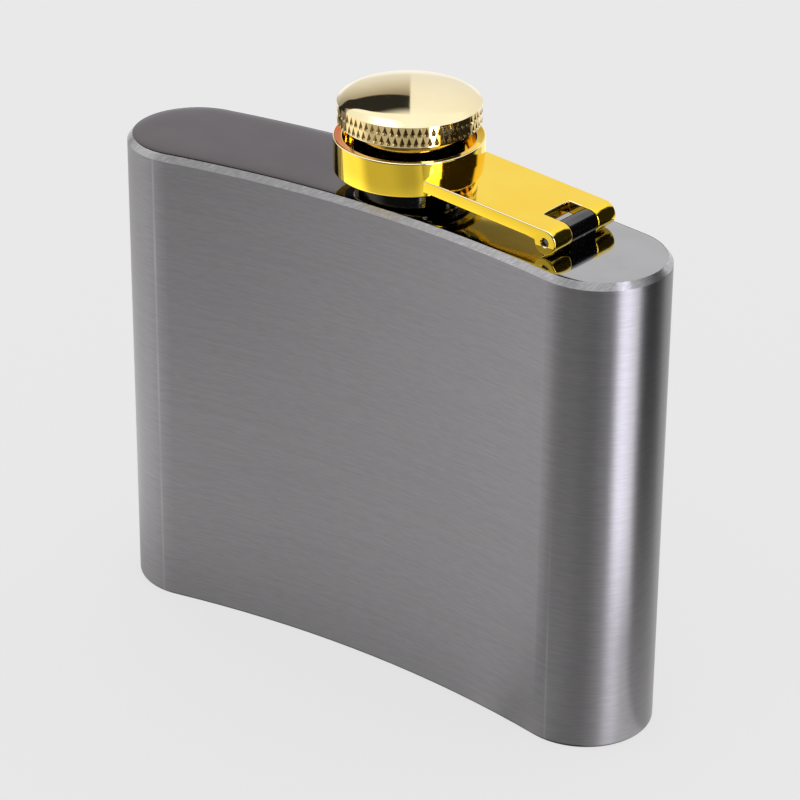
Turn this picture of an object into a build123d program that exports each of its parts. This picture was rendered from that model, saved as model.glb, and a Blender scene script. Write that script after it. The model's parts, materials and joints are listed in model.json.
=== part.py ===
from build123d import *
import math
import os

# Hip flask with a captive screw cap on a hinged arm. Millimetres, +Z up.
# Origin: centre of the base, midway between the two rounded ends, on the
# resting plane. +X runs along the width towards the hinge, and +Y points to
# the convex back. The cap stands unscrewed and lifted in the arm's collar.
# The deck is the top plate's upper face. Heights of the neck, the arm and the
# cap are measured from it.

# body shell
WIDTH = 92.0
HEIGHT = 74.4
THICKNESS = 20.0
END_RADIUS = 10.25
BOW = 3.4
WALL = 0.8
PLATE = 1.2
BEVEL_HEIGHT = 0.9
RIM_LAND = 0.05
BASE_EDGE = 0.5
DECK_RISE = 0.08
DECK_EDGE = 0.1
ON_PLANE = 0.01

# screw thread, right-handed, and the neck that carries it
PITCH = 1.0
THREAD_DEPTH = 0.55
THREAD_ROOT_WIDTH = 0.62
THREAD_CREST_WIDTH = 0.12
THREAD_CLEARANCE = 0.15
THREAD_OVERLAP = 0.05
NECK_MAJOR = 6.0
NECK_BORE = 4.5
NECK_SPIGOT = 5.2
NECK_FLANGE = 7.0
NECK_FLANGE_HEIGHT = 0.8
NECK_HEIGHT = 5.0
NECK_THREAD_BOTTOM = 1.5
NECK_THREAD_TOP = 4.6
NECK_CHAMFER = 0.3
SPIGOT_BELOW_PLATE = 0.8

# hinged arm: a plate from the collar to the hinge
CAP_X = 0.85
ARM_YAW = -4.0
ARM_LENGTH = 30.0
ARM_WIDTH = 14.0
ARM_DEPTH = 1.9
ARM_SLOPE = 0.06
ARM_EDGE = 0.25
PIN_HEIGHT = 2.1
EAR_RADIUS = 1.85
WINDOW_WIDTH = 5.85
WINDOW_BACK = 3.35
PIN_RADIUS = 0.6
PIN_RECESS = 0.45
PIN_CLEARANCE = 0.06
PIN_MOUTH = 0.15

# hinge bracket
KNUCKLE_WIDTH = 5.6
KNUCKLE_RADIUS = 1.75
FOOT_LENGTH = 3.0

# collar at the arm's end
COLLAR_OUTER = 10.95
COLLAR_INNER = 9.65
COLLAR_BOTTOM = 2.6
COLLAR_TOP = 7.8
COLLAR_EDGE = 0.25
LIP_RADIUS = 8.3
LIP_BOTTOM = 2.9
LIP_TOP = 3.5

# cap, at its lifted position
KNURL_RADIUS = 10.4
KNURL_BOTTOM = 10.1
KNURL_TOP = 13.0
DOME_RADIUS = 10.1
DOME_EDGE = 13.2
DOME_TOP = 15.35
CROWN_RADIUS = 29.0
SHOULDER_START = 8.4
SKIRT_RADIUS = 10.1
SKIRT_BOTTOM = 9.75
STEM_OUTER = 8.0
STEM_INNER = 7.3
STEM_BOTTOM = 1.75
STEM_ROOF = 12.2
GROOVE_RADIUS = 7.7
GROOVE_GAP = 0.08
RING_OUTER = 9.3
RING_BOTTOM = 2.2
RING_TOP = 2.8

# insert and seal inside the cap
INSERT_BOTTOM = 5.2
SEAL_RADIUS = 6.6
SEAL_BOTTOM = 6.65
SEAL_TOP = 7.85

DECK = HEIGHT + DECK_RISE
END_CENTRE = WIDTH / 2 - END_RADIUS
FRONT_Y = BOW - THICKNESS / 2
BACK_Y = BOW + THICKNESS / 2
NECK_MINOR = NECK_MAJOR - THREAD_DEPTH
CAP_AXIS = Location((CAP_X, BOW, DECK))
ARM_FRAME = CAP_AXIS * Location((0, 0, 0), (0, 0, ARM_YAW))


def tangent_radius(side):
    """Radius of the long arc, at distance side from the X axis, that meets both end circles smoothly."""
    return abs((END_CENTRE**2 + side**2 - END_RADIUS**2) / (2 * (END_RADIUS - abs(side))))


FRONT_CENTRE = Vector(0, FRONT_Y - tangent_radius(FRONT_Y))
BACK_CENTRE = Vector(0, BACK_Y - tangent_radius(BACK_Y))


def outline(inset):
    """The bowed plan shape moved inwards by inset: concave front, convex back, round ends."""
    end = Vector(END_CENTRE, 0)
    radius = END_RADIUS - inset
    front = end + (FRONT_CENTRE - end).normalized() * radius
    back = end + (end - BACK_CENTRE).normalized() * radius
    front_left = Vector(-front.X, front.Y)
    back_left = Vector(-back.X, back.Y)
    return make_face([
        ThreePointArc(front_left, (0, FRONT_Y + inset), front),
        ThreePointArc(front, (END_CENTRE + radius, 0), back),
        ThreePointArc(back, (0, BACK_Y - inset), back_left),
        ThreePointArc(back_left, (-END_CENTRE - radius, 0), front_left),
    ])


def slab(shape, bottom, top):
    """A flat shape extruded between two heights."""
    return Pos(0, 0, bottom) * extrude(shape, amount=top - bottom)


def disc(radius, bottom, top):
    """An upright cylinder between two heights."""
    return Pos(0, 0, bottom) * Cylinder(radius, top - bottom, align=(Align.CENTER, Align.CENTER, Align.MIN))


def tube(outer, inner, bottom, top):
    """A hollow upright cylinder."""
    return disc(outer, bottom, top) - disc(inner, bottom, top)


def beam(profile, width):
    """A profile drawn in the arm's length and height, extruded evenly to both sides of its centreline."""
    return extrude(make_face(profile), amount=width / 2, both=True)


def arm_point(along, height):
    """A point on the arm's centreline plane."""
    return Vector(along, 0, height)


def crosswise(radius, width):
    """A cylinder along the hinge axis."""
    return Pos(ARM_LENGTH, 0, PIN_HEIGHT) * Rot(90, 0, 0) * Cylinder(radius, width)


def thread_ridge(root, crest, bottom, top, start):
    """A helical ridge from the root radius to the crest radius, cut flat at both ends.

    start is the height at which the ridge's middle crosses the +X axis, before whole pitches are added.
    """
    outward = math.copysign(1.0, crest - root)
    buried = root - outward * THREAD_OVERLAP
    root_half = THREAD_ROOT_WIDTH / 2
    crest_half = THREAD_CREST_WIDTH / 2
    first = start + PITCH * (math.floor((bottom - start) / PITCH) - 1)
    path = Helix(PITCH, top - first + PITCH, root, center=(0, 0, first))
    section = make_face(Polyline(
        (buried, 0, first - root_half),
        (crest, 0, first - crest_half),
        (crest, 0, first + crest_half),
        (buried, 0, first + root_half),
        close=True,
    ))
    ridge = sweep(section, path=path, is_frenet=True)
    return ridge & disc(NECK_FLANGE + THREAD_DEPTH, bottom, top)


def edged_block():
    """The flask's full outer form, with a bevel ground round its top rim and an eased base."""
    block = slab(outline(0), 0, HEIGHT)
    rim = block.faces().sort_by(Axis.Z)[-1]
    block = chamfer(rim.edges(), length=WALL - RIM_LAND, length2=BEVEL_HEIGHT, reference=rim)
    return fillet(block.faces().sort_by(Axis.Z)[0].edges(), BASE_EDGE)


def make_body_wrap():
    return edged_block() - slab(outline(WALL), 0, HEIGHT)


def make_top_plate():
    """The deck: it stands a little proud of the wrap's rim, and its edge is eased down to it."""
    plate = slab(outline(WALL), DECK - PLATE, DECK)
    plate = fillet(plate.faces().sort_by(Axis.Z)[-1].edges(), DECK_EDGE)
    return plate - Pos(CAP_X, BOW) * disc(NECK_SPIGOT, DECK - PLATE, DECK)


def make_bottom_plate():
    return slab(outline(WALL), 0, PLATE)


def make_neck():
    """Flanged tube through the top plate, with an external thread and an eased mouth."""
    below = -PLATE - SPIGOT_BELOW_PLATE
    body = disc(NECK_FLANGE, 0, NECK_FLANGE_HEIGHT) + disc(NECK_SPIGOT, below, 0)
    body += disc(NECK_MINOR, NECK_FLANGE_HEIGHT, NECK_HEIGHT)
    body = chamfer(body.edges().group_by(Axis.Z)[-1], length=NECK_CHAMFER)
    body += thread_ridge(NECK_MINOR, NECK_MAJOR, NECK_THREAD_BOTTOM, NECK_THREAD_TOP, 0)
    body -= disc(NECK_BORE, below, NECK_HEIGHT)
    return CAP_AXIS * body


def make_hinge_bracket():
    """A rounded knuckle on a foot, bored for the pin."""
    foot = Pos(ARM_LENGTH, 0, PIN_HEIGHT / 2) * Box(FOOT_LENGTH, KNUCKLE_WIDTH, PIN_HEIGHT)
    bracket = foot + crosswise(KNUCKLE_RADIUS, KNUCKLE_WIDTH)
    return ARM_FRAME * (bracket - crosswise(PIN_RADIUS + PIN_CLEARANCE, KNUCKLE_WIDTH))


def make_hinge_pin():
    return ARM_FRAME * crosswise(PIN_RADIUS, ARM_WIDTH - 2 * PIN_RECESS)


def collar():
    """The arm's ring, with an inner lip that the cap's retaining ring bears against from below."""
    ring = tube(COLLAR_OUTER, COLLAR_INNER, COLLAR_BOTTOM, COLLAR_TOP)
    ring = fillet(ring.edges(), COLLAR_EDGE)
    return ring + tube(COLLAR_INNER + COLLAR_EDGE, LIP_RADIUS, LIP_BOTTOM, LIP_TOP)


def on_a_side(edge):
    """Whether an edge lies in one of the arm's two side faces."""
    points = [edge.center(), *edge.vertices()]
    return all(abs(abs(point.Y) - ARM_WIDTH / 2) < ON_PLANE for point in points)


def side_edges(plate):
    return [edge for edge in plate.edges() if on_a_side(edge)]


def make_cap_arm():
    """Collar, sloping plate with a window, and two ears round the pin."""
    ear_top = PIN_HEIGHT + EAR_RADIUS
    root = (COLLAR_OUTER + COLLAR_INNER) / 2
    root = math.sqrt(root**2 - (ARM_WIDTH / 2)**2)
    root_top = ear_top + ARM_SLOPE * (ARM_LENGTH - root)
    plate = beam(Polyline(
        arm_point(root, root_top),
        arm_point(ARM_LENGTH, ear_top),
        arm_point(ARM_LENGTH, ear_top - ARM_DEPTH),
        arm_point(root, root_top - ARM_DEPTH),
        close=True,
    ), ARM_WIDTH)
    plate += crosswise(EAR_RADIUS, ARM_WIDTH)
    plate = fillet(side_edges(plate), ARM_EDGE)
    window_front = ARM_LENGTH - WINDOW_BACK
    window_length = WINDOW_BACK + 2 * EAR_RADIUS
    window_middle = Pos(window_front + window_length / 2, 0, PIN_HEIGHT)
    plate -= window_middle * Box(window_length, WINDOW_WIDTH, 4 * EAR_RADIUS)
    plate -= disc((COLLAR_OUTER + COLLAR_INNER) / 2, 0, COLLAR_TOP)
    plate -= crosswise(PIN_RADIUS, ARM_WIDTH)
    plate = chamfer([edge for edge in side_edges(plate) if edge.is_closed], PIN_MOUTH)
    return ARM_FRAME * (collar() + plate)


def make_retaining_ring():
    return CAP_AXIS * tube(RING_OUTER, GROOVE_RADIUS + GROOVE_GAP, RING_BOTTOM, RING_TOP)


def dome():
    """The cap's top in profile: a shallow crown, and a rounder shoulder that meets it smoothly."""
    slope = math.asin(SHOULDER_START / CROWN_RADIUS)
    top, middle, start = [
        (CROWN_RADIUS * math.sin(angle), 0, DOME_TOP - CROWN_RADIUS * (1 - math.cos(angle)))
        for angle in (0, slope / 2, slope)
    ]
    crown = ThreePointArc(top, middle, start)
    shoulder = TangentArc(start, (DOME_RADIUS, 0, DOME_EDGE), tangent=(math.cos(slope), 0, -math.sin(slope)))
    return [crown, shoulder]


def make_cap_shell():
    """Domed cap with a gripping band, on a hollow stem that carries the retaining ring in a groove."""
    walls = Polyline(
        (0, 0, DOME_TOP),
        (0, 0, STEM_ROOF),
        (STEM_INNER, 0, STEM_ROOF),
        (STEM_INNER, 0, STEM_BOTTOM),
        (STEM_OUTER, 0, STEM_BOTTOM),
        (STEM_OUTER, 0, RING_BOTTOM - GROOVE_GAP),
        (GROOVE_RADIUS, 0, RING_BOTTOM - GROOVE_GAP),
        (GROOVE_RADIUS, 0, RING_TOP + GROOVE_GAP),
        (STEM_OUTER, 0, RING_TOP + GROOVE_GAP),
        (STEM_OUTER, 0, SKIRT_BOTTOM),
        (SKIRT_RADIUS, 0, SKIRT_BOTTOM),
        (SKIRT_RADIUS, 0, KNURL_BOTTOM),
        (KNURL_RADIUS, 0, KNURL_BOTTOM),
        (KNURL_RADIUS, 0, KNURL_TOP),
        (DOME_RADIUS, 0, DOME_EDGE),
    )
    return CAP_AXIS * revolve(make_face([*dome(), walls]), Axis.Z)


def make_cap_insert():
    """Plastic plug in the stem, with an internal thread that meshes with the neck's."""
    root = NECK_MAJOR + THREAD_CLEARANCE
    crest = NECK_MINOR + THREAD_CLEARANCE
    plug = disc(STEM_INNER, INSERT_BOTTOM, STEM_ROOF)
    plug -= disc(root, INSERT_BOTTOM, SEAL_BOTTOM)
    plug -= disc(SEAL_RADIUS, SEAL_BOTTOM, SEAL_TOP)
    plug += thread_ridge(root, crest, INSERT_BOTTOM, SEAL_BOTTOM, PITCH / 2)
    return CAP_AXIS * plug


def make_cap_seal():
    return CAP_AXIS * disc(SEAL_RADIUS, SEAL_BOTTOM, SEAL_TOP)


PIECES = {
    "body_wrap": make_body_wrap,
    "top_plate": make_top_plate,
    "bottom_plate": make_bottom_plate,
    "neck": make_neck,
    "hinge_bracket": make_hinge_bracket,
    "hinge_pin": make_hinge_pin,
    "cap_arm": make_cap_arm,
    "retaining_ring": make_retaining_ring,
    "cap_shell": make_cap_shell,
    "cap_insert": make_cap_insert,
    "cap_seal": make_cap_seal,
}

os.makedirs("parts", exist_ok=True)
for name, make in PIECES.items():
    export_step(make(), f"parts/{name}.step")
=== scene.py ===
import json
import math

import bmesh
import bpy
from mathutils import Matrix, Vector


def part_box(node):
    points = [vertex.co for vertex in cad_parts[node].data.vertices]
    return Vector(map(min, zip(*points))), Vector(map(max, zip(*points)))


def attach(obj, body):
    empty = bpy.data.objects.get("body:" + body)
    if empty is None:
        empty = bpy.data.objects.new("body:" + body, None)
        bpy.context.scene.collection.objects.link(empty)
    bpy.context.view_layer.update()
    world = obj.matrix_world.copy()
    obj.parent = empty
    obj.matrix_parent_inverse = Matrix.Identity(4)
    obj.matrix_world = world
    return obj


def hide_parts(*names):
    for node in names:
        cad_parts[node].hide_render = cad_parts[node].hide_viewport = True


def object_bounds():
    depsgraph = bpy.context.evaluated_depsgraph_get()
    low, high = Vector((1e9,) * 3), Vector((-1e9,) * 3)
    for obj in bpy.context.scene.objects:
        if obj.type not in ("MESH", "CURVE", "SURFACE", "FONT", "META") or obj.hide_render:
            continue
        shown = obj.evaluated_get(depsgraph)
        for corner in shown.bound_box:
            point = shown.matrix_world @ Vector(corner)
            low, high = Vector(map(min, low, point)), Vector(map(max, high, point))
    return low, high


# Hip flask with a captive screw cap on a hinged arm. Metres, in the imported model's frame:
# +Z up, +X towards the hinge, +Y towards the convex back.
# Azimuths in this script start at the front, -Y, and grow towards the hinge, +X.

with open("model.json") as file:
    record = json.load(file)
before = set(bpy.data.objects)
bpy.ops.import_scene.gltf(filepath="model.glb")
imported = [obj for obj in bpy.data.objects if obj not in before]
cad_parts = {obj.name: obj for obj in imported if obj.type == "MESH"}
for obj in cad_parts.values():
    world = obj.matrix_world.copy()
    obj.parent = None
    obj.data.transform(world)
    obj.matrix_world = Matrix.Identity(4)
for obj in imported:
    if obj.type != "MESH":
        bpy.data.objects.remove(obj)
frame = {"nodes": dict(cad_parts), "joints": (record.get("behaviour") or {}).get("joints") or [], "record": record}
cad_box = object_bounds()
nodes = frame["nodes"]
scene = bpy.context.scene
MM = 0.001
# radius of the rounded ends in mm, and where their centres lie, each side of the middle
END_RADIUS = 10.25
END_CENTRE = cad_box[1].x - END_RADIUS * MM

# camera: angles in degrees, distances in metres, lens and sensor in mm
VIEW_AZIMUTH = 35.771
VIEW_ELEVATION = 27.407
VIEW_ROLL = 0.464
VIEW_DISTANCE = 0.506164
VIEW_TARGET = Vector((0.002013, 0.0, 0.041193))
LENS = 154.51
SENSOR = 36.0

# tones of the stage, as linear light
BACKDROP_TONE = 0.815
FLOOR_GLOW = 0.70
FLOOR_SHADE = 0.115
# half the floor's width, in view distances
FLOOR_REACH = 20


# ---------------------------------------------------------------- node helpers

def add_node(tree, kind, inputs=(), **settings):
    """A new node; inputs maps socket names or numbers to values or to other nodes' output sockets."""
    node = tree.nodes.new(kind)
    for name, value in settings.items():
        setattr(node, name, value)
    for name, value in dict(inputs).items():
        if isinstance(value, bpy.types.NodeSocket):
            tree.links.new(value, node.inputs[name])
        else:
            node.inputs[name].default_value = value
    return node


def maths(tree, operation, first, second=0.0):
    """The result of an operation on one or two numbers."""
    return add_node(tree, "ShaderNodeMath", {0: first, 1: second}, operation=operation).outputs[0]


def step(tree, value, start, end, low=0.0, high=1.0):
    """A smooth rise from low to high as the value goes from start to end."""
    inputs = {"Value": value, "From Min": start, "From Max": end, "To Min": low, "To Max": high}
    return add_node(tree, "ShaderNodeMapRange", inputs, interpolation_type="SMOOTHSTEP").outputs["Result"]


def between(tree, value, rise, fall):
    """1 between two soft edges and 0 outside them; each edge is a pair of numbers."""
    return maths(tree, "MULTIPLY", step(tree, value, *rise), step(tree, value, *fall))


def spread(tree, value, start, end, low, high):
    """A straight-line rise from low to high as the value goes from start to end."""
    inputs = {"Value": value, "From Min": start, "From Max": end, "To Min": low, "To Max": high}
    return add_node(tree, "ShaderNodeMapRange", inputs).outputs["Result"]


def blend_value(tree, mask, below, above):
    """Mixes two numbers."""
    inputs = {"Factor": mask, "A": below, "B": above}
    return add_node(tree, "ShaderNodeMix", inputs, data_type="FLOAT").outputs["Result"]


def blend_colour(tree, mask, below, above, blend_type="MIX"):
    """Mixes two colours; the colour sockets of the Mix node are the ones numbered 6 and 7."""
    inputs = {0: mask, 6: below, 7: above}
    return add_node(tree, "ShaderNodeMix", inputs, data_type="RGBA", blend_type=blend_type).outputs[2]


def flat_length(tree, first, second):
    """The length of a flat vector, given by its two parts."""
    flat = add_node(tree, "ShaderNodeCombineXYZ", {0: first, 1: second}).outputs[0]
    return add_node(tree, "ShaderNodeVectorMath", {0: flat}, operation="LENGTH").outputs["Value"]


def noise(tree, place, scale, detail=2.0, rough=0.5):
    """Noise from 0 to 1 at a place; scale is a number, or one for each axis, in features per metre."""
    if not isinstance(scale, (int, float)):
        place = add_node(tree, "ShaderNodeMapping", {"Vector": place, "Scale": scale}).outputs[0]
        scale = 1.0
    inputs = {"Vector": place, "Scale": scale, "Detail": detail, "Roughness": rough}
    return add_node(tree, "ShaderNodeTexNoise", inputs).outputs[0]


def new_surface(name):
    """A material with an empty node tree, its Principled shader and the place on the object."""
    material = bpy.data.materials.new(name)
    material.use_nodes = True
    tree = material.node_tree
    tree.nodes.clear()
    shader = add_node(tree, "ShaderNodeBsdfPrincipled")
    add_node(tree, "ShaderNodeOutputMaterial", {"Surface": shader.outputs[0]})
    place = add_node(tree, "ShaderNodeTexCoord").outputs["Object"]
    return material, tree, shader, place


# ---------------------------------------------------------------- camera, light and floor

def make_camera():
    """The camera looks at the target from the stated azimuth, elevation and distance."""
    azimuth = math.radians(VIEW_AZIMUTH)
    elevation = math.radians(VIEW_ELEVATION)
    level = math.cos(elevation)
    towards = Vector((math.sin(azimuth) * level, -math.cos(azimuth) * level, math.sin(elevation)))
    data = bpy.data.cameras.new("camera")
    data.lens = LENS
    data.sensor_width = SENSOR
    data.clip_start = VIEW_DISTANCE / 10
    data.clip_end = VIEW_DISTANCE * 100
    camera = bpy.data.objects.new("camera", data)
    scene.collection.objects.link(camera)
    turn = towards.to_track_quat("Z", "Y").to_matrix() @ Matrix.Rotation(math.radians(VIEW_ROLL), 3, "Z")
    camera.matrix_world = Matrix.Translation(VIEW_TARGET + towards * VIEW_DISTANCE) @ turn.to_4x4()
    scene.camera = camera


# the azimuth where the compass is cut open; all azimuths and elevations below are in degrees
SEAM = 110.0

# light that the metal sees below the horizon, round the compass from the seam: start, end, change
LOW_START = 0.02
LOW_STEPS = [(-216, -201, 0.98), (-60, -5, -0.70), (50, 66, 0.3), (66, 76, 1.6), (100, 107, -2.18)]
# the same above the horizon
HIGH_START = 0.02
HIGH_STEPS = [(-208, -198, 0.97), (-60, -15, -0.90), (84, 90, -0.07)]
# how it brightens upwards: elevations, then shares
HIGH_RISE = (0, 50, 0.86, 1.02)
# elevations over which the light from above the horizon takes over from the light below
HORIZON = (-5, 5)
# the lit ceiling: its tone, its edge, and what is added to the edge's elevation round the compass
CEILING_TONE = 1.1
CEILING_EDGE = (48, 58)
CEILING_START = -12
CEILING_STEPS = [(-190, -180, 12), (82, 90, -12)]
# cards of light and shade: tone, left, right, bottom, top, softness
CARDS = [(8.2, 68, 102, -40, -20, 2.0),
         (6.0, 62, 84, 4, 34, 2.5),
         (0.4, 35, 125, 46, 64, 6.0),
         (2.0, -95, 75, 60, 80, 6.0)]
# the tall light at the right: how much bluer it is, and its soft sides
LAMP_BLUE = 0.12
LAMP_LEFT = (62, 70)
LAMP_RIGHT = (98, 92)

# the wall behind at the left: its soft sides, and its tones from its foot to its top
WALL_LEFT = (-144.8, -144.2)
WALL_RIGHT = (-96, -104)
WALL_HEIGHT = (-5, 36)
WALL_CURVE = 2.2
WALL_TONES = (0.82, 0.27)
# how it dims to the right: azimuths, then shares
WALL_DIMMING = (-135, -112, 1.0, 0.5)
# how warm it grows towards its top: shares left of green and blue, and where the warmth stops
WARM_GREEN = 0.86
WARM_BLUE = 0.70
WARM_END = (40, 30)
# the black flag on the wall: azimuths, then elevations; its head drops further at the right
FLAG_FOOT = (-144.5, -105, 37, 18)
FLAG_HEAD = (-144.5, -119, 57, 50)
FLAG_HEAD_DROP = (-119, -99, 0, -17)
FLAG_SOFT = 0.6
FLAG_TONE = 0.025

# light on the floor close to the flask, round the compass about its hinge end
NEAR_START = 1.75
NEAR_STEPS = [(-54, -32, -0.92), (-5, 25, -0.2), (34, 62, 0.65), (60, 74, 0.65), (90, 100, -0.8)]
# how far this lit floor reaches past the flask, in metres, and the angle of its cut corner
NEAR_REACH = {"left": 0.30, "right": 0.046, "front": 0.30, "back": 0.25}
NEAR_CORNER = 50.0
# distances from the flask over which its light falls to a share
NEAR_FADE = (0.09, 0.16)
FAR_SHARE = 0.66
# distances over which it rises from a share at the foot; the share itself grows over these azimuths
FOOT_FADE = (0.016, 0.05)
FOOT_TURN = (-60, -10)
FOOT_SHARE = (0.50, 1.0)


def steps_round(tree, azimuth, start, changes):
    """A number that changes in soft steps round the compass."""
    total = None
    for left, right, change in changes:
        rise = step(tree, azimuth, left, right, 0.0, change)
        total = rise if total is None else maths(tree, "ADD", total, rise)
    return maths(tree, "ADD", total, start)


def sky_patch(tree, azimuth, elevation, left, right, bottom, top, soft):
    """1 inside a patch of the sky and 0 outside, with soft edges."""
    mask = step(tree, azimuth, left - soft, left + soft)
    for value, start, end in ((azimuth, right + soft, right - soft),
                              (elevation, bottom - soft, bottom + soft),
                              (elevation, top + soft, top - soft)):
        mask = maths(tree, "MULTIPLY", mask, step(tree, value, start, end))
    return mask


def sky_place(tree):
    """Azimuth from the seam round to the seam again, and elevation, of the direction that is looked in."""
    direction = add_node(tree, "ShaderNodeTexCoord").outputs["Generated"]
    turn = (0.0, 0.0, math.radians(180.0 - SEAM))
    turned = add_node(tree, "ShaderNodeMapping", {"Vector": direction, "Rotation": turn}).outputs[0]
    parts = add_node(tree, "ShaderNodeSeparateXYZ", {0: turned}).outputs
    angle = maths(tree, "ARCTAN2", parts["X"], maths(tree, "MULTIPLY", parts["Y"], -1.0))
    shifted = {0: angle, 1: math.degrees(1.0), 2: SEAM - 180.0}
    azimuth = add_node(tree, "ShaderNodeMath", shifted, operation="MULTIPLY_ADD").outputs[0]
    elevation = maths(tree, "MULTIPLY", maths(tree, "ARCSINE", parts["Z"]), math.degrees(1.0))
    return azimuth, elevation


def wall_light(tree, azimuth, elevation):
    """The tone and the warmth of the wall, which darkens upwards to a black flag with slanting edges."""
    height = spread(tree, elevation, *WALL_HEIGHT, 0.0, 1.0)
    height = maths(tree, "POWER", height, WALL_CURVE)
    wall = maths(tree, "MULTIPLY", spread(tree, height, 0, 1, *WALL_TONES),
                 spread(tree, azimuth, *WALL_DIMMING))
    flag_foot = spread(tree, azimuth, *FLAG_FOOT)
    flag_head = maths(tree, "ADD", spread(tree, azimuth, *FLAG_HEAD),
                      spread(tree, azimuth, *FLAG_HEAD_DROP))
    for edge, tone in ((flag_foot, FLAG_TONE), (flag_head, CEILING_TONE)):
        over = step(tree, maths(tree, "SUBTRACT", elevation, edge), -FLAG_SOFT, FLAG_SOFT)
        wall = blend_value(tree, over, wall, tone)
    warmth = maths(tree, "MULTIPLY", height, step(tree, elevation, *WARM_END))
    return wall, warmth


def studio_light(tree):
    """What the metal reflects: walls, floor and ceiling, a tall light at the right, a black flag."""
    azimuth, elevation = sky_place(tree)
    low = steps_round(tree, azimuth, LOW_START, LOW_STEPS)
    high = steps_round(tree, azimuth, HIGH_START, HIGH_STEPS)
    high = maths(tree, "MULTIPLY", high, spread(tree, elevation, *HIGH_RISE))
    on_wall = between(tree, azimuth, WALL_LEFT, WALL_RIGHT)
    wall, warmth = wall_light(tree, azimuth, elevation)
    warmth = maths(tree, "MULTIPLY", warmth, on_wall)
    high = blend_value(tree, on_wall, high, wall)
    ceiling_edge = steps_round(tree, azimuth, CEILING_START, CEILING_STEPS)
    ceiling = step(tree, maths(tree, "SUBTRACT", elevation, ceiling_edge), *CEILING_EDGE)
    high = blend_value(tree, ceiling, high, CEILING_TONE)
    tone = blend_value(tree, step(tree, elevation, *HORIZON), low, high)
    for card, left, right, bottom, top, soft in CARDS:
        mask = sky_patch(tree, azimuth, elevation, left, right, bottom, top, soft)
        tone = blend_value(tree, mask, tone, card)
    in_lamp = between(tree, azimuth, LAMP_LEFT, LAMP_RIGHT)
    green = maths(tree, "MULTIPLY", tone, spread(tree, warmth, 0, 1, 1.0, WARM_GREEN))
    blue = maths(tree, "MULTIPLY", tone, spread(tree, warmth, 0, 1, 1.0, WARM_BLUE))
    blue = maths(tree, "MULTIPLY", blue, spread(tree, in_lamp, 0, 1, 1.0, 1.0 + LAMP_BLUE))
    return {0: tone, 1: green, 2: blue}


def make_world():
    """Plain and pale to the camera, even white to matt surfaces, and a studio to the metal."""
    world = bpy.data.worlds.new("studio")
    scene.world = world
    world.use_nodes = True
    world.cycles.sampling_method = "NONE"
    tree = world.node_tree
    tree.nodes.clear()
    ray = add_node(tree, "ShaderNodeLightPath").outputs
    lit = add_node(tree, "ShaderNodeCombineColor", studio_light(tree)).outputs[0]
    lit = blend_colour(tree, ray["Is Glossy Ray"], (1, 1, 1, 1), lit)
    lit = blend_colour(tree, ray["Is Camera Ray"], lit, (BACKDROP_TONE,) * 3 + (1,))
    light = add_node(tree, "ShaderNodeBackground", {"Color": lit}).outputs[0]
    add_node(tree, "ShaderNodeOutputWorld", {"Surface": light})
    scene.view_settings.view_transform = "Standard"


def flat_sheet(name, corners):
    """A flat sheet that belongs to the stage, with an empty material of its own."""
    mesh = bpy.data.meshes.new(name)
    mesh.from_pydata(corners, [], [tuple(range(len(corners)))])
    sheet = bpy.data.objects.new(name, mesh)
    scene.collection.objects.link(sheet)
    material = bpy.data.materials.new(name)
    material.use_nodes = True
    material.node_tree.nodes.clear()
    mesh.materials.append(material)
    return sheet, material.node_tree


def make_floor():
    """A wide pale floor that shows only a faint shade round the flask."""
    half = VIEW_DISTANCE * FLOOR_REACH
    ground = cad_box[0].z
    corners = [(-half, -half, ground), (half, -half, ground), (half, half, ground), (-half, half, ground)]
    floor, tree = flat_sheet("pale_floor", corners)
    glow = add_node(tree, "ShaderNodeEmission", {"Strength": FLOOR_GLOW}).outputs[0]
    shade = add_node(tree, "ShaderNodeBsdfDiffuse", {"Color": (FLOOR_SHADE,) * 3 + (1,)}).outputs[0]
    both = add_node(tree, "ShaderNodeAddShader", {0: glow, 1: shade}).outputs[0]
    add_node(tree, "ShaderNodeOutputMaterial", {"Surface": both})
    floor.visible_glossy = False
    floor.visible_diffuse = False


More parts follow.
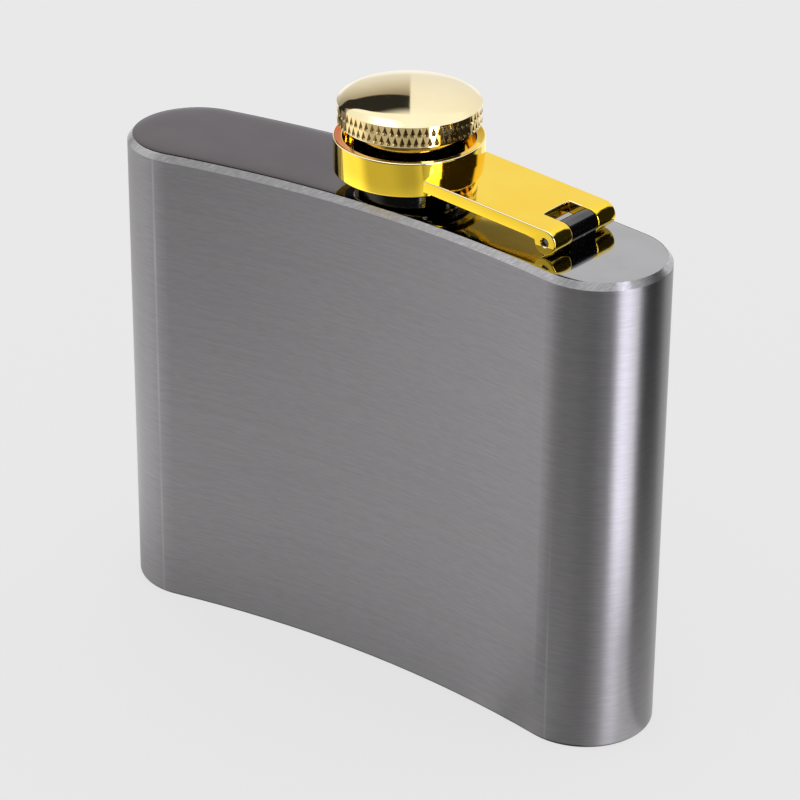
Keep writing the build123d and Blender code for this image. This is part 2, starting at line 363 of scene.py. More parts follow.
def make_near_light():
    """The lit floor close to the flask, as the metal sees it: it gives way to the studio further out.

    Towards the tall light it ends at a slanting edge that points away from the hinge end.
    """
    low, high = cad_box
    end_centre = high.x - (high.y - low.y) / 2
    left = low.x - NEAR_REACH["left"]
    right = high.x + NEAR_REACH["right"]
    front = low.y - NEAR_REACH["front"]
    back = high.y + NEAR_REACH["back"]
    slant = math.tan(math.radians(NEAR_CORNER))
    sheet, tree = flat_sheet("floor_near", [
        (left, front, low.z),
        (end_centre - front * slant, front, low.z),
        (right, -(right - end_centre) / slant, low.z),
        (right, back, low.z),
        (left, back, low.z),
    ])
    place = add_node(tree, "ShaderNodeTexCoord").outputs["Object"]
    parts = add_node(tree, "ShaderNodeSeparateXYZ", {0: place}).outputs
    angle = maths(tree, "ARCTAN2", maths(tree, "SUBTRACT", parts["X"], end_centre),
                  maths(tree, "MULTIPLY", parts["Y"], -1.0))
    azimuth = maths(tree, "MULTIPLY", angle, math.degrees(1.0))
    tone = steps_round(tree, azimuth, NEAR_START, NEAR_STEPS)
    beside = maths(tree, "SUBTRACT", maths(tree, "ABSOLUTE", parts["X"]), end_centre)
    distance = flat_length(tree, maths(tree, "MAXIMUM", beside), parts["Y"])
    tone = maths(tree, "MULTIPLY", tone, step(tree, distance, *NEAR_FADE, 1.0, FAR_SHARE))
    foot = spread(tree, azimuth, *FOOT_TURN, *FOOT_SHARE)
    tone = maths(tree, "MULTIPLY", tone, step(tree, distance, *FOOT_FADE, foot, 1.0))
    glow = add_node(tree, "ShaderNodeEmission", {"Strength": tone}).outputs[0]
    add_node(tree, "ShaderNodeOutputMaterial", {"Surface": glow})
    sheet.visible_camera = False
    sheet.visible_diffuse = False
    sheet.visible_shadow = False


# ---------------------------------------------------------------- materials

# colours, as linear light
BODY_DARK = (0.245, 0.238, 0.245, 1)
BODY_BRIGHT = (0.293, 0.285, 0.291, 1)
BODY_CLOUD = (0.21, 0.20, 0.21, 1)
# painted highlight of the line where each rounded end begins
BODY_PAINTED_HIGHLIGHT = (0.38, 0.375, 0.38, 1)
# painted shade on the eased foot
BODY_FOOT_PAINTED_SHADE = (0.05, 0.048, 0.055, 1)
BEVEL_DARK = (0.43, 0.425, 0.435, 1)
BEVEL_BRIGHT = (0.60, 0.59, 0.60, 1)
DECK_DARK = (0.41, 0.405, 0.415, 1)
DECK_BRIGHT = (0.44, 0.435, 0.445, 1)
# partly tint, partly painted shade, multiplied in towards the end away from the hinge
DECK_TINT_AND_SHADE = (0.50, 0.49, 0.57, 1)
DEEP_DARK = (1.0, 0.67, 0.045, 1)
DEEP_BRIGHT = (1.0, 0.71, 0.06, 1)
# painted highlight for the rounded upper edges
DEEP_PAINTED_HIGHLIGHT = (1.0, 0.9, 0.62, 1)
# painted reflection of the gold cap, red, on the collar's rim
DEEP_PAINTED_REFLECTION = (0.62, 0.13, 0.01, 1)
PALE_DARK = (0.95, 0.81, 0.50, 1)
PALE_BRIGHT = (0.97, 0.84, 0.54, 1)
# painted bounce light: warmer gold on the knurled band
KNURL_PAINTED_BOUNCE = (0.92, 0.71, 0.33, 1)
# painted shade for the downward-facing walls of the knurl's pits
KNURL_PAINTED_SHADE = (0.11, 0.07, 0.022, 1)
# painted shade: steel made near black
STEEL_PAINTED_SHADE_DARK = (0.09, 0.088, 0.092, 1)
STEEL_PAINTED_SHADE_BRIGHT = (0.13, 0.127, 0.13, 1)
PLASTIC_DARK = (0.74, 0.73, 0.70, 1)
PLASTIC_BRIGHT = (0.82, 0.81, 0.78, 1)
SILICONE_DARK = (0.62, 0.60, 0.56, 1)
SILICONE_BRIGHT = (0.70, 0.68, 0.64, 1)

# grains, in features per metre, for all axes or for each
BRUSH_FINE = (420, 420, 5200)
BRUSH_COARSE = (40, 40, 2200)
BODY_CLOUDS = 28.0
BEVEL_GRAIN = (900, 900, 9000)
POLISH_CLOUDS = 160.0
POLISH_HAIRS = (300, 5200, 900)
POLISH_WAVES = 260.0
MOULDED_CLOUDS = 400.0
PLASTIC_GRAIN = 6000.0
SILICONE_GRAIN = 9000.0
# the noise values over which a mask made from noise rises, and a hairline scratch
NOISE_SPAN = (0.3, 0.7)
HAIR_SPAN = (0.66, 0.74)
# how much of the body's brushing is coarse, and how far its clouds change the colour
COARSE_SHARE = 0.3
CLOUD_SHARE = 0.12
# the angle, in degrees, at which the bevel's scratches cross it
BEVEL_SLANT = 32
BODY_ANISOTROPY = 0.94
BODY_ROUGH = (0.41, 0.45)
BEVEL_ROUGH = 0.30
# how far the surface has to face upwards to be the bevel, and downwards to be the eased foot, which gets painted
# shade
BEVEL_UPRIGHT = (0.15, 0.45)
FOOT_SHADE_UPRIGHT = (-0.05, -0.45)
# the painted highlight line at the rounded ends: its soft half width in mm, its breaks in features per metre,
# what is left of it there and elsewhere, and the heights in mm over which it fades away
LINE_WIDTH = (0.30, 0.05)
LINE_BREAKS = (0, 0, 60)
LINE_SHARES = (0.2, 0.8)
LINE_FADE = (15, 45)


def bump(tree, shader, height, strength, distance):
    """Gives a surface the look of fine relief."""
    inputs = {"Height": height, "Strength": strength, "Distance": distance}
    node = add_node(tree, "ShaderNodeBump", inputs)
    tree.links.new(node.outputs[0], shader.inputs["Normal"])


def edge_highlight_line(tree, place, parts):
    """A thin painted highlight down the front where each rounded end begins, fainter here and there.

    It fades out at the hinge's end, from a little above the foot upwards.
    """
    across = maths(tree, "SUBTRACT", maths(tree, "ABSOLUTE", parts["X"]), END_CENTRE)
    outside, inside = (width * MM for width in LINE_WIDTH)
    line = maths(tree, "MULTIPLY", step(tree, maths(tree, "ABSOLUTE", across), outside, inside),
                 step(tree, parts["Y"], 0, -MM))
    breaks = step(tree, noise(tree, place, LINE_BREAKS), *NOISE_SPAN, *LINE_SHARES)
    line = maths(tree, "MULTIPLY", line, breaks)
    lowest, highest = (height * MM for height in LINE_FADE)
    faded = maths(tree, "MULTIPLY", step(tree, parts["X"], 0, MM),
                 step(tree, parts["Z"], lowest, highest))
    return maths(tree, "MULTIPLY", line, maths(tree, "SUBTRACT", 1.0, faded))


def brushed_gunmetal():
    """Dark metal brushed along its length, with a lighter bevel ground across the top rim.

    A thin painted highlight runs down the front where each rounded end begins, and painted shade darkens the eased
    foot.
    """
    material, tree, shader, place = new_surface("brushed_gunmetal")
    fine = noise(tree, place, BRUSH_FINE, 2.0, 0.6)
    coarse = noise(tree, place, BRUSH_COARSE, 2.0)
    cloud = noise(tree, place, BODY_CLOUDS, 2.0)
    lines = blend_value(tree, COARSE_SHARE, fine, coarse)
    normal = add_node(tree, "ShaderNodeNewGeometry").outputs["Normal"]
    upright = add_node(tree, "ShaderNodeSeparateXYZ", {0: normal}).outputs["Z"]
    parts = add_node(tree, "ShaderNodeSeparateXYZ", {0: place}).outputs
    bevel = step(tree, upright, *BEVEL_UPRIGHT)
    body = blend_colour(tree, step(tree, lines, *NOISE_SPAN), BODY_DARK, BODY_BRIGHT)
    body = blend_colour(tree, spread(tree, cloud, *NOISE_SPAN, 0.0, CLOUD_SHARE), body, BODY_CLOUD)
    # painted highlight: the light line where each rounded end begins
    body = blend_colour(tree, edge_highlight_line(tree, place, parts), body, BODY_PAINTED_HIGHLIGHT)
    # painted shade: the downward-facing eased foot is darkened as if it reflected the shade where it meets the
    # floor
    body = blend_colour(tree, step(tree, upright, *FOOT_SHADE_UPRIGHT), body, BODY_FOOT_PAINTED_SHADE)
    slant = add_node(tree, "ShaderNodeVectorRotate", {"Vector": place, "Angle": math.radians(BEVEL_SLANT)},
                     rotation_type="Y_AXIS").outputs[0]
    scratch = noise(tree, slant, BEVEL_GRAIN, 2.0, 0.6)
    ground = blend_colour(tree, step(tree, scratch, 0.42, 0.68), BEVEL_DARK, BEVEL_BRIGHT)
    tree.links.new(blend_colour(tree, bevel, body, ground), shader.inputs["Base Color"])
    shader.inputs["Metallic"].default_value = 1.0
    shader.inputs["Anisotropic"].default_value = BODY_ANISOTROPY
    rough = spread(tree, lines, 0.25, 0.75, *BODY_ROUGH)
    tree.links.new(blend_value(tree, bevel, rough, BEVEL_ROUGH), shader.inputs["Roughness"])
    upward = add_node(tree, "ShaderNodeCombineXYZ", {2: 1.0}).outputs[0]
    tree.links.new(upward, shader.inputs["Tangent"])
    bump(tree, shader, blend_value(tree, bevel, lines, scratch), 0.25, 0.02 * MM)
    return material


def mirror_metal(name, dark, bright, rough, smear):
    """Polished metal with faint smears, hairline scratches and a slight waviness."""
    material, tree, shader, place = new_surface(name)
    cloud = noise(tree, place, POLISH_CLOUDS, 2.0)
    hairs = noise(tree, place, POLISH_HAIRS, 2.0, 0.6)
    scratch = step(tree, hairs, *HAIR_SPAN)
    colour = blend_colour(tree, step(tree, cloud, *NOISE_SPAN), dark, bright)
    tree.links.new(colour, shader.inputs["Base Color"])
    shader.inputs["Metallic"].default_value = 1.0
    smooth = spread(tree, cloud, *NOISE_SPAN, rough, rough + smear)
    tree.links.new(blend_value(tree, scratch, smooth, rough + 5 * smear), shader.inputs["Roughness"])
    bump(tree, shader, noise(tree, place, POLISH_WAVES, 1.0), 0.02, 0.2 * MM)
    return material


def tinted(material, make_mask, colour, blend_type="MIX"):
    """Lays a colour over a metal where a mask says so; the mask comes from the place and the normal."""
    tree = material.node_tree
    shader = next(node for node in tree.nodes if node.type == "BSDF_PRINCIPLED")
    texture = add_node(tree, "ShaderNodeTexCoord").outputs
    place = add_node(tree, "ShaderNodeSeparateXYZ", {0: texture["Object"]}).outputs
    normal = add_node(tree, "ShaderNodeSeparateXYZ", {0: texture["Normal"]}).outputs
    plain = shader.inputs["Base Color"].links[0].from_socket
    mask = make_mask(tree, place, normal)
    tree.links.new(blend_colour(tree, mask, plain, colour, blend_type), shader.inputs["Base Color"])


def on_far_end(tree, place, normal):
    """The end away from the hinge, reached gradually."""
    return step(tree, place["X"], 16 * MM, -12 * MM)


def polished_gunmetal():
    """Mirror polish, darker and bluer towards the end away from the hinge: partly an uneven tint of the metal and
    partly painted shade for its dimmer reflections there.
    """
    material = mirror_metal("polished_gunmetal", DECK_DARK, DECK_BRIGHT, 0.05, 0.03)
    # partly painted shade: darker and bluer towards the end away from the hinge
    tinted(material, on_far_end, DECK_TINT_AND_SHADE, "MULTIPLY")
    return material


def on_rounded_edge(tree, place, normal):
    """The band of an upper edge where the surface turns from upright to level, which gets a pale painted
    highlight.

    The ears' round backs turn the same way but get none, except at their sides.
    """
    turning = between(tree, normal["Z"], (0.22, 0.45), (0.96, 0.86))
    from_pin = flat_length(tree, place["X"], place["Z"])
    round_end = step(tree, from_pin, (EAR_RADIUS + 0.4) * MM, (EAR_RADIUS + 0.3) * MM)
    across = maths(tree, "ABSOLUTE", place["Y"])
    side = (ARM_HALF - ARM_EDGE) * MM
    round_end = maths(tree, "MULTIPLY", round_end, step(tree, across, side, side - 0.05 * MM))
    return maths(tree, "MULTIPLY", turning, maths(tree, "SUBTRACT", 1.0, round_end))


def on_collar_rim(tree, place, normal):
    """The collar's rim, where a red painted reflection of the gold cap grows towards the side away from the hinge.
    """
    top = (COLLAR_TOP - 1) * MM
    level = maths(tree, "MULTIPLY", step(tree, normal["Z"], 0.955, 0.975),
                  step(tree, place["Z"], top, top + MM / 2))
    away = maths(tree, "SUBTRACT", maths(tree, "MULTIPLY", place["Y"], 0.3), place["X"])
    return maths(tree, "MULTIPLY", level, step(tree, away, -7 * MM, 5 * MM))


def deep_gold():
    """The arm's orange gold, with a pale painted highlight along its upper edges and a red painted reflection of
    the gold cap on the collar's rim.
    """
    material = mirror_metal("deep_gold", DEEP_DARK, DEEP_BRIGHT, 0.04, 0.03)
    # painted highlight: pale cream along the rounded upper edges
    tinted(material, on_rounded_edge, DEEP_PAINTED_HIGHLIGHT)
    # painted reflection: the gold cap seen red in the collar's rim
    tinted(material, on_collar_rim, DEEP_PAINTED_REFLECTION)
    return material


def in_knurl(tree, place, normal):
    """The knurled band round the cap."""
    radius = flat_length(tree, place["X"], place["Y"])
    band = step(tree, radius, (DOME_RADIUS - 0.5) * MM, (DOME_RADIUS - 0.3) * MM)
    bottom = ((KNURL_BOTTOM - 0.02) * MM, (KNURL_BOTTOM + 0.02) * MM)
    top = ((KNURL_TOP + 0.02) * MM, (KNURL_TOP - 0.02) * MM)
    return maths(tree, "MULTIPLY", band, between(tree, place["Z"], bottom, top))


def in_knurl_shade(tree, place, normal):
    """The upper walls of the knurl's pits, which face downwards and get painted shade."""
    shade = step(tree, normal["Z"], -0.02, -0.16, 0.0, 0.92)
    return maths(tree, "MULTIPLY", in_knurl(tree, place, normal), shade)


def pale_gold():
    """The cap's light gold, with a deeper, warmer gold painted on the knurled band for the light bounced between
    its grooves, and painted shade on the upper walls of its pits.
    """
    material = mirror_metal("pale_gold", PALE_DARK, PALE_BRIGHT, 0.035, 0.03)
    # painted bounce light: the knurled band made deeper and warmer in colour
    tinted(material, in_knurl, KNURL_PAINTED_BOUNCE)
    # painted shade: the downward-facing pit walls are darkened
    tinted(material, in_knurl_shade, KNURL_PAINTED_SHADE)
    return material


# painted shade: the steel is made near black so that it reads as the shade of the hollows where it sits
def dark_steel():
    return mirror_metal("dark_steel", STEEL_PAINTED_SHADE_DARK, STEEL_PAINTED_SHADE_BRIGHT, 0.1, 0.04)


def moulded(name, dark, bright, rough, grain):
    """Moulded plastic or rubber with a fine grain and a slightly uneven tone."""
    material, tree, shader, place = new_surface(name)
    cloud = noise(tree, place, MOULDED_CLOUDS, 2.0)
    tree.links.new(blend_colour(tree, cloud, dark, bright), shader.inputs["Base Color"])
    uneven = spread(tree, cloud, *NOISE_SPAN, rough - 0.05, rough + 0.05)
    tree.links.new(uneven, shader.inputs["Roughness"])
    bump(tree, shader, noise(tree, place, grain, 2.0), 0.2, 0.03 * MM)
    return material


def insert_plastic():
    return moulded("insert_plastic", PLASTIC_DARK, PLASTIC_BRIGHT, 0.4, PLASTIC_GRAIN)


def seal_silicone():
    return moulded("seal_silicone", SILICONE_DARK, SILICONE_BRIGHT, 0.55, SILICONE_GRAIN)


MATERIALS = {
    "brushed_gunmetal": brushed_gunmetal,
    "polished_gunmetal": polished_gunmetal,
    "deep_gold": deep_gold,
    "pale_gold": pale_gold,
    "dark_steel": dark_steel,
    "insert_plastic": insert_plastic,
    "seal_silicone": seal_silicone,
}


def finish_cad_nodes(materials):
    """Each CAD node gets the finish of its slot in the record."""
    for part in frame["record"]["subparts"]:
        data = nodes[part["node"]].data
        data.materials.clear()
        data.materials.append(materials[part["material_slot"]])


# ---------------------------------------------------------------- mesh helpers

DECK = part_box("top_plate")[1].z


def arc(centre, radius, start, end, steps):
    """Points along an arc of a profile; angles are in degrees from outwards, growing upwards."""
    points = []
    for number in range(steps + 1):
        angle = math.radians(start + (end - start) * number / steps)
        points.append((centre[0] + radius * math.cos(angle), centre[1] + radius * math.sin(angle)))
    return points


def lathe(profile, segments):
    """A closed profile of radii and heights, in mm, turned round the Z axis."""
    vertices = []
    faces = []
    count = len(profile)
    for segment in range(segments):
        angle = 2 * math.pi * segment / segments
        for radius, height in profile:
            vertices.append((radius * math.cos(angle) * MM, radius * math.sin(angle) * MM, height * MM))
        start = segment * count
        following = (segment + 1) % segments * count
        for number in range(count):
            after = (number + 1) % count
            faces.append((start + number, following + number, following + after, start + after))
    return vertices, faces


def finish_piece(name, mesh, work, material, sharp):
    """An object from a working mesh, its faces turned outwards and its edges sharp past an angle."""
    bmesh.ops.recalc_face_normals(work, faces=work.faces)
    work.to_mesh(mesh)
    work.free()
    mesh.set_sharp_from_angle(angle=math.radians(sharp))
    mesh.materials.append(material)
    piece = bpy.data.objects.new(name, mesh)
    scene.collection.objects.link(piece)
    return piece


def new_piece(name, vertices, faces, material, sharp):
    """The same from vertices and faces."""
    mesh = bpy.data.meshes.new(name)
    mesh.from_pydata(vertices, [], faces)
    work = bmesh.new()
    work.from_mesh(mesh)
    return finish_piece(name, mesh, work, material, sharp)


def apply_modifiers(piece):
    """Turns what the modifiers make into the piece's own mesh."""
    bpy.context.view_layer.update()
    graph = bpy.context.evaluated_depsgraph_get()
    mesh = bpy.data.meshes.new_from_object(piece.evaluated_get(graph))
    piece.modifiers.clear()
    piece.data = mesh


def stand_for(piece, body, node):
    """The piece is shown in a CAD node's place, on its body."""
    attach(piece, body)
    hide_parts(node)


def axis_of(node):
    """The middle of a round node, in plan."""
    low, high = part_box(node)
    return (low.x + high.x) / 2, (low.y + high.y) / 2


# ---------------------------------------------------------------- top plate

# sizes in mm; angles past which an edge is sharp, in degrees
BOW = 3.4
THICKNESS = 20.0
WALL = 0.8
PLATE = 1.2
SPIGOT_RADIUS = 5.2
# how the plate rounds off towards its edge: drop at the edge, and how far in it reaches
ROUNDING = [(0.06, 0.4), (0.05, 1.2)]
# how far in from the edge the plate's rings of vertices lie
DECK_RINGS = [0, 0.05, 0.12, 0.2, 0.3, 0.42, 0.56, 0.75, 1.0, 1.3, 1.7, 2.2, 2.8, 3.4, 3.6]
SIDE_STEPS = 48
END_STEPS = 40
HOLE_STEPS = 48
DECK_SHARP = 35


def bow_radius(side):
    """The radius of a bowed side that crosses the middle at a height and meets the round ends smoothly."""
    end = END_CENTRE / MM
    return abs((end**2 + side**2 - END_RADIUS**2) / (2 * (END_RADIUS - abs(side))))


def bowed_outline(inset):
    """The flask's plan, in mm, moved inwards by inset: concave front, convex back and round ends."""
    end = END_CENTRE / MM
    front_radius = bow_radius(BOW - THICKNESS / 2)
    back_radius = bow_radius(BOW + THICKNESS / 2)
    front_centre = BOW - THICKNESS / 2 - front_radius
    back_centre = BOW + THICKNESS / 2 - back_radius
    front_lean = math.degrees(math.atan2(-front_centre, end))
    back_lean = math.degrees(math.atan2(-back_centre, end))
    front = arc((0, front_centre), front_radius + inset, 180 - front_lean, front_lean, SIDE_STEPS)
    right = arc((end, 0), END_RADIUS - inset, front_lean - 180, back_lean, END_STEPS)
    back = arc((0, back_centre), back_radius - inset, back_lean, 180 - back_lean, SIDE_STEPS)
    left = arc((-end, 0), END_RADIUS - inset, 180 - back_lean, 360 - front_lean, END_STEPS)
    return front[:-1] + right[:-1] + back[:-1] + left[:-1]


def fill_round_hole(work, outer, hole):
    """Fills the flat area between an outline and the round hole in it, with a front and a back face."""
    left = max(range(len(outer)), key=lambda number: -outer[number].co.x)
    right = max(range(len(outer)), key=lambda number: outer[number].co.x)
    opposite = len(hole) // 2
    front = (outer + outer)[left:right + 1 + (len(outer) if right < left else 0)]
    back = (outer + outer)[right:left + 1 + (len(outer) if left < right else 0)]
    work.faces.new([*front, hole[0], *reversed(hole[opposite:])])
    work.faces.new([*back, *reversed(hole[:opposite + 1])])


def join_loops(work, first, second):
    """A band of quads between two closed loops of as many vertices."""
    for number, vertex in enumerate(first):
        after = (number + 1) % len(first)
        work.faces.new((vertex, first[after], second[after], second[number]))


def edge_drop(inward):
    """How far the plate has fallen, in mm, at a distance in from its edge."""
    return sum(depth * math.exp(-inward / reach) for depth, reach in ROUNDING)


def make_deck(material):
    """The top plate: a mirror that rounds off gently towards its edge, with the neck's hole."""
    hole_x, hole_y = axis_of("neck")
    work = bmesh.new()
    rings = []
    for inward in DECK_RINGS:
        drop = edge_drop(inward) - edge_drop(DECK_RINGS[-2])
        height = DECK - max(drop, 0.0) * MM
        rings.append([work.verts.new((x * MM, y * MM, height)) for x, y in bowed_outline(WALL + inward)])
    bottom = [work.verts.new((x * MM, y * MM, DECK - PLATE * MM)) for x, y in bowed_outline(WALL)]
    holes = []
    for height in (rings[-1][0].co.z, DECK - PLATE * MM):
        circle = arc((hole_x / MM, hole_y / MM), SPIGOT_RADIUS, 0, 360, HOLE_STEPS)[:-1]
        holes.append([work.verts.new((x * MM, y * MM, height)) for x, y in circle])
    for first, second in zip([bottom, *rings], rings):
        join_loops(work, first, second)
    join_loops(work, *holes)
    fill_round_hole(work, rings[-1], holes[0])
    fill_round_hole(work, bottom, holes[1])
    deck = finish_piece("deck", bpy.data.meshes.new("deck"), work, material, DECK_SHARP)
    stand_for(deck, "flask", "top_plate")


# ---------------------------------------------------------------- arm

# sizes in mm, heights from the deck; angles in degrees
COLLAR_OUTER = 10.95
COLLAR_INNER = 9.65
COLLAR_BOTTOM = 2.6
COLLAR_TOP = 7.8
COLLAR_EDGE = 0.25
COLLAR_BORE_EDGE = 0.12
COLLAR_SLOPE = 11.0
LIP_RADIUS = 8.3
LIP_BOTTOM = 2.9
LIP_TOP = 3.5
LIP_EDGE = 0.08
COLLAR_SEGMENTS = 288

# the plate, in mm from the hinge's axis; its slope is the rise for each mm away from the hinge
ARM_LENGTH = 30.0
ARM_HALF = 7.0
ARM_DEPTH = 1.9
ARM_SLOPE = 0.06
ARM_EDGE = 0.22
EAR_RADIUS = 1.85
WINDOW_HALF = 2.925
WINDOW_BACK = 3.35
PIN_RADIUS = 0.6
PIN_MOUTH = 0.15
PIN_BEYOND = 0.5
PIN_SEGMENTS = 48
ROOT_RADIUS = 10.3
EAR_STEPS = 40
ARM_BEVEL_FROM = 40
ARM_SHARP = 30


def make_collar(material):
    """The arm's ring: rounded at its rim, which slopes a little inwards, with a lip inside at the foot."""
    rim = COLLAR_OUTER - COLLAR_EDGE
    bore = COLLAR_INNER + COLLAR_BORE_EDGE
    inwards = 90 + COLLAR_SLOPE
    fall = (rim - bore) * math.tan(math.radians(COLLAR_SLOPE))
    bore_top = COLLAR_TOP - COLLAR_BORE_EDGE - fall
    profile = [
        *arc((rim, COLLAR_BOTTOM + COLLAR_EDGE), COLLAR_EDGE, -90, 0, 6),
        *arc((rim, COLLAR_TOP - COLLAR_EDGE), COLLAR_EDGE, 0, inwards, 8),
        *arc((bore, bore_top), COLLAR_BORE_EDGE, inwards, 180, 5),
        (COLLAR_INNER, LIP_TOP),
        (LIP_RADIUS + LIP_EDGE, LIP_TOP),
        (LIP_RADIUS, LIP_TOP - LIP_EDGE),
        (LIP_RADIUS, LIP_BOTTOM + LIP_EDGE),
        (LIP_RADIUS + LIP_EDGE, LIP_BOTTOM),
        (COLLAR_INNER, LIP_BOTTOM),
        (COLLAR_INNER, COLLAR_BOTTOM + COLLAR_BORE_EDGE),
        (bore, COLLAR_BOTTOM),
    ]
    collar = new_piece("arm_collar", *lathe(profile, COLLAR_SEGMENTS), material, ARM_SHARP)
    collar.location = (*axis_of("retaining_ring"), DECK)
    stand_for(collar, "arm", "cap_arm")


def arm_top(along):
    """The height of the plate's upper face, which slopes down to the hinge and is level past it."""
    return EAR_RADIUS - ARM_SLOPE * min(along, 0.0)


def arm_outline(across):
    """The arm in side view at a distance across: root, plate and, beside the window, ear."""
    root = math.sqrt(ROOT_RADIUS**2 - across**2) - ARM_LENGTH
    outline = [(root, arm_top(root)), (-WINDOW_BACK, arm_top(-WINDOW_BACK))]
    if abs(across) >= WINDOW_HALF:
        outline += arc((0, 0), EAR_RADIUS, 90, -178, EAR_STEPS)
    outline += [(-WINDOW_BACK, arm_top(-WINDOW_BACK) - ARM_DEPTH), (root, arm_top(root) - ARM_DEPTH)]
    return outline


def arm_mesh():
    """The arm's plate and ears, lofted between outlines set out across it.

    Beside the window the ears' longer outlines join the plate's four corners, and close with a face.
    """
    beside = [WINDOW_HALF + (ARM_HALF - WINDOW_HALF) * share for share in (0, 0.35, 0.7, 1)]
    between = [WINDOW_HALF * share for share in (-0.5, 0, 0.5)]
    stations = [-across for across in reversed(beside)] + between + beside
    vertices = []
    loops = []
    for across in stations:
        outline = arm_outline(across)
        loops.append(range(len(vertices), len(vertices) + len(outline)))
        vertices += [(along * MM, across * MM, height * MM) for along, height in outline]
    faces = [tuple(loops[0]), tuple(loops[-1])]
    for first, second in zip(loops, loops[1:]):
        if len(first) == len(second):
            ring_a, ring_b = list(first), list(second)
        else:
            ring_a = [*first[:2], *first[-2:]]
            ring_b = [*second[:2], *second[-2:]]
            longer = max(first, second, key=len)
            faces.append(tuple(longer[1:-1]))
        for number in range(len(ring_a)):
            after = (number + 1) % len(ring_a)
            faces.append((ring_a[number], ring_b[number], ring_b[after], ring_a[after]))
    return vertices, faces


def pin_bore():
    """The shape taken out of the ears for the pin, wider at both mouths."""
    beyond = ARM_HALF + PIN_BEYOND
    flare = PIN_RADIUS + PIN_MOUTH + PIN_BEYOND
    profile = [(flare, -beyond), (PIN_RADIUS, PIN_MOUTH - ARM_HALF),
               (PIN_RADIUS, ARM_HALF - PIN_MOUTH), (flare, beyond)]
    vertices, faces = lathe(profile, PIN_SEGMENTS)
    count = len(profile)
    faces = [face for number, face in enumerate(faces) if number % count != count - 1]
    faces += [tuple(range(0, len(vertices), count)), tuple(range(count - 1, len(vertices), count))]
    turned = [(x, -z, y) for x, y, z in vertices]
    return turned, faces


def make_arm_plate(material):
    """The sloping plate with its window and ears, rounded at all edges and bored for the pin."""
    hinge = next(joint for joint in frame["joints"] if joint["name"] == "arm_hinge")
    plate = new_piece("arm_plate", *arm_mesh(), material, ARM_SHARP)
    cutter = new_piece("pin_bore", *pin_bore(), material, ARM_SHARP)
    rounding = plate.modifiers.new("edges", "BEVEL")
    rounding.width = ARM_EDGE * MM
    rounding.segments = 3
    rounding.limit_method = "ANGLE"
    rounding.angle_limit = math.radians(ARM_BEVEL_FROM)
    bore = plate.modifiers.new("bore", "BOOLEAN")
    bore.object = cutter
    bore.solver = "EXACT"
    apply_modifiers(plate)
    plate.data.set_sharp_from_angle(angle=math.radians(ARM_SHARP))
    weights = plate.modifiers.new("weights", "WEIGHTED_NORMAL")
    weights.keep_sharp = True
    apply_modifiers(plate)
    bpy.data.objects.remove(cutter)
    across = Vector(hinge["axis"]).normalized()
    along = across.cross(Vector((0, 0, 1)))
    turn = Matrix((along, across, (0, 0, 1))).transposed()
    plate.matrix_world = Matrix.Translation(Vector(hinge["pos_m"])) @ turn.to_4x4()
    stand_for(plate, "arm", "cap_arm")


# ---------------------------------------------------------------- knurled cap

# sizes in mm, heights from the deck; knurls round the cap, and their grid in cells
KNURL_RADIUS = 10.4
KNURL_BOTTOM = 10.1
KNURL_TOP = 13.0
KNURLS_ROUND = 66
KNURL_CELLS = 4
KNURL_ROWS = 8
PIT_ROW = 1
PIT_SIZE = 3
KNURL_DEPTH = 0.36
CAP_SHARP = 20
DOME_RADIUS = 10.1
DOME_EDGE = 13.2
CROWN_RINGS = 22
SHOULDER_STEPS = 8
DOME_TOP = 15.35
CROWN_RADIUS = 29.0
SHOULDER_START = 8.4
SKIRT_BOTTOM = 9.75
SKIRT_EDGE = 0.08
STEM_OUTER = 8.0
STEM_INNER = 7.3
STEM_BOTTOM = 1.75
STEM_ROOF = 12.2
STEM_EDGE = 0.15
GROOVE_RADIUS = 7.7
RING_BOTTOM = 2.2
RING_TOP = 2.8
GROOVE_GAP = 0.08


def knurl_height(column, row):
    """Height of the knurl on its grid of cells: 0 at the bottom of a pit and 1 on the lands between.

    The pits are triangles that point upwards, deepest at the middle of their foot.
    """
    period = 2 * KNURL_CELLS
    nearest = PIT_SIZE
    for level, shift in ((PIT_ROW, 0), (PIT_ROW + KNURL_CELLS, KNURL_CELLS)):
        phase = (column + shift) % period
        upwards = row - level if row >= level else PIT_SIZE
        nearest = min(nearest, min(phase, period - phase) + upwards)
    return nearest / PIT_SIZE


def dome_profile():
    """A shallow crown and a rounder shoulder that meets it smoothly, from the top outwards."""
    slope = math.asin(SHOULDER_START / CROWN_RADIUS)
    points = []
    for ring in range(1, CROWN_RINGS + 1):
        angle = slope * ring / CROWN_RINGS
        points.append((CROWN_RADIUS * math.sin(angle), DOME_TOP - CROWN_RADIUS * (1 - math.cos(angle))))
    start = Vector(points[-1])
    chord = Vector((DOME_RADIUS, DOME_EDGE)) - start
    inwards = Vector((-math.sin(slope), -math.cos(slope)))
    radius = chord.length_squared / (2 * chord.dot(inwards))
    centre = start + inwards * radius
    first = 90 - math.degrees(slope)
    last = math.degrees(math.atan2(DOME_EDGE - centre.y, DOME_RADIUS - centre.x))
    return points + arc(centre, radius, first, last, SHOULDER_STEPS)[1:]


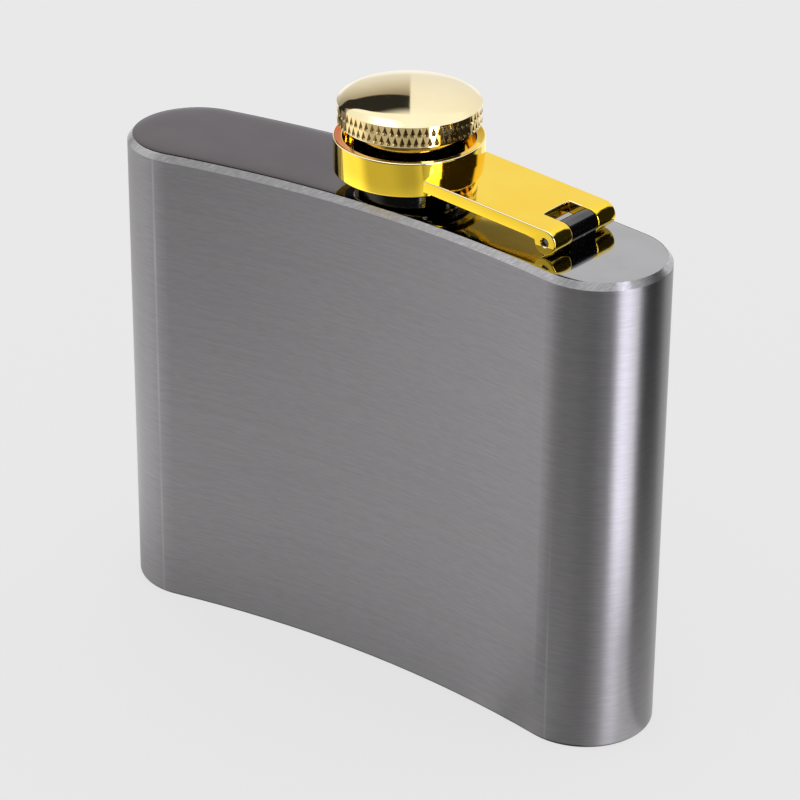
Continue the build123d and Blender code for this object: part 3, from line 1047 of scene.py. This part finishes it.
def make_cap(material):
    """The domed cap with its knurled band, on a hollow stem with a groove for the retaining ring."""
    dome = dome_profile()
    rings = [*dome, *[None] * (KNURL_ROWS + 1)]
    rings += [
        (DOME_RADIUS, KNURL_BOTTOM - SKIRT_EDGE),
        (DOME_RADIUS, SKIRT_BOTTOM + SKIRT_EDGE),
        (DOME_RADIUS - SKIRT_EDGE, SKIRT_BOTTOM),
        (STEM_OUTER + STEM_EDGE, SKIRT_BOTTOM),
        (STEM_OUTER, SKIRT_BOTTOM - STEM_EDGE),
        (STEM_OUTER, RING_TOP + GROOVE_GAP),
        (GROOVE_RADIUS, RING_TOP + GROOVE_GAP),
        (GROOVE_RADIUS, RING_BOTTOM - GROOVE_GAP),
        (STEM_OUTER, RING_BOTTOM - GROOVE_GAP),
        (STEM_OUTER, STEM_BOTTOM + STEM_EDGE),
        (STEM_OUTER - STEM_EDGE, STEM_BOTTOM),
        (STEM_INNER, STEM_BOTTOM),
        (STEM_INNER, STEM_ROOF),
    ]
    columns = KNURLS_ROUND * 2 * KNURL_CELLS
    vertices = [(0, 0, DOME_TOP * MM)]
    knurl_row = KNURL_ROWS
    for ring in rings:
        for column in range(columns):
            angle = 2 * math.pi * column / columns
            if ring is None:
                radius = KNURL_RADIUS - KNURL_DEPTH * (1 - knurl_height(column, knurl_row))
                height = KNURL_BOTTOM + (KNURL_TOP - KNURL_BOTTOM) * knurl_row / KNURL_ROWS
            else:
                radius, height = ring
            vertices.append((radius * math.cos(angle) * MM, radius * math.sin(angle) * MM, height * MM))
        knurl_row -= ring is None
    faces = [(0, 1 + column, 1 + (column + 1) % columns) for column in range(columns)]
    for ring in range(len(rings) - 1):
        upper = 1 + ring * columns
        lower = upper + columns
        for column in range(columns):
            following = (column + 1) % columns
            quad = [upper + column, lower + column, lower + following, upper + following]
            grid_row = KNURL_ROWS - (ring - len(dome))
            if ring < len(dome) or ring >= len(dome) + KNURL_ROWS:
                faces.append(tuple(quad))
            elif (column + grid_row - PIT_ROW) % 2:
                faces += [tuple(quad[:3]), (quad[0], quad[2], quad[3])]
            else:
                faces += [(quad[0], quad[1], quad[3]), tuple(quad[1:])]
    last = 1 + (len(rings) - 1) * columns
    centre = len(vertices)
    vertices.append((0, 0, STEM_ROOF * MM))
    faces += [(last + (column + 1) % columns, last + column, centre) for column in range(columns)]
    cap = new_piece("knurled_cap", vertices, faces, material, CAP_SHARP)
    cap.location = (*axis_of("cap_shell"), DECK)
    stand_for(cap, "cap", "cap_shell")


# ---------------------------------------------------------------- the scene

make_camera()
make_world()
make_floor()
make_near_light()
finishes = {name: make() for name, make in MATERIALS.items()}
finish_cad_nodes(finishes)
make_deck(finishes["polished_gunmetal"])
make_collar(finishes["deep_gold"])
make_arm_plate(finishes["deep_gold"])
make_cap(finishes["pale_gold"])
